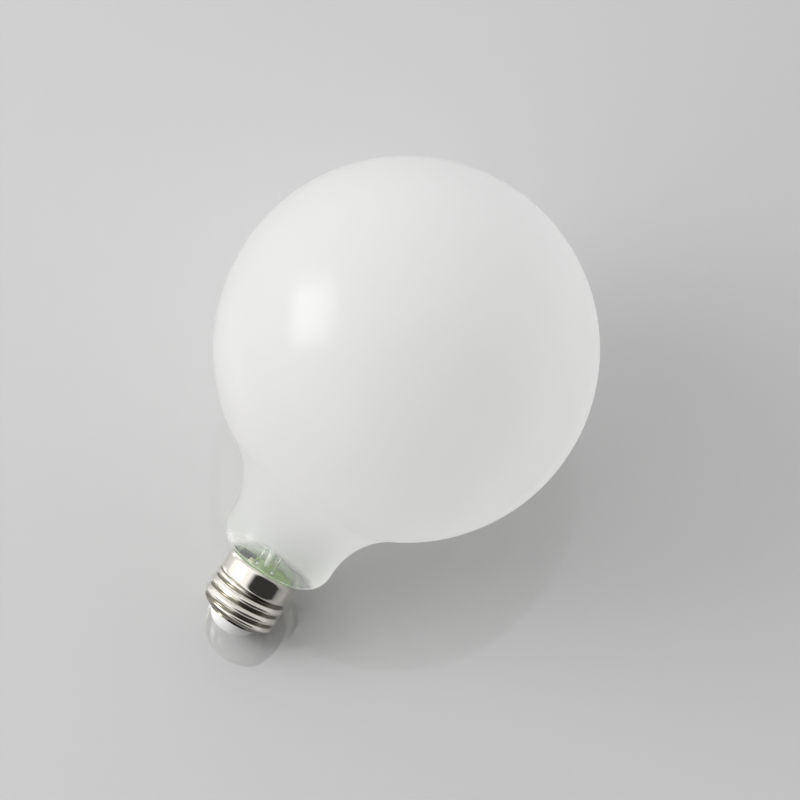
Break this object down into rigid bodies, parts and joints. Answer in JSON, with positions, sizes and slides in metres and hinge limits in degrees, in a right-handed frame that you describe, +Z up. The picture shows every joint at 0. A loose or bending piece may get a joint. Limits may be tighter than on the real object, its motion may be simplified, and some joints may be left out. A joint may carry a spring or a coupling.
{
  "type": "globe light bulb",
  "caption": "Large globe light bulb with a milky glass globe, a short clear glass end and a rolled screw cap, lying on its side.",
  "frame": {"origin": "centre of the bottom of the bounding box, on the surface that the bulb lies on", "axes": "+X along the floor from the cap's end to the globe, +Z up; the bulb's own axis lies in the XZ plane, 30.0 degrees off the floor, with the cap low at -X"},
  "size_m": [0.1602, 0.125, 0.125],
  "materials": {
    "milky_glass": "smooth milky coat inside, clear for the last 7 mm above the cap",
    "clear_glass": "clear, smooth",
    "nickel": "nickel plate, satin bright",
    "white_insulator": "white, smooth",
    "contact_metal": "dull tinned metal",
    "cement": "dry grey-white cement",
    "green_board": "green solder mask",
    "black_moulding": "moulded black",
    "ceramic": "fired ceramic",
    "capacitor_can": "sleeved can with a bare end",
    "tinned_wire": "tinned and nickel wire",
    "solder": "bright solder",
    "phosphor": "yellow phosphor coat"
  },
  "bodies": {
    "root": {"glass_envelope": "milky_glass", "stem_flare": "clear_glass", "exhaust_tube": "clear_glass", "stem_post": "clear_glass", "screw_shell": "nickel", "insulator": "white_insulator", "centre_contact": "contact_metal", "basing_cement": "cement", "driver_board": "green_board", "driver_chip": "black_moulding", "bridge_rectifier": "black_moulding", "ceramic_capacitor": "ceramic", "smoothing_capacitor": "capacitor_can", "fusible_resistor": "ceramic", "contact_lead": "tinned_wire", "shell_lead": "tinned_wire", "lead_wire_1": "tinned_wire", "lead_wire_2": "tinned_wire", "lead_solder_1": "solder", "lead_solder_2": "solder", "filament_anchor": "tinned_wire", "led_filament_1": "phosphor", "led_filament_2": "phosphor", "led_filament_3": "phosphor", "led_filament_4": "phosphor"}
  },
  "joints": []
}
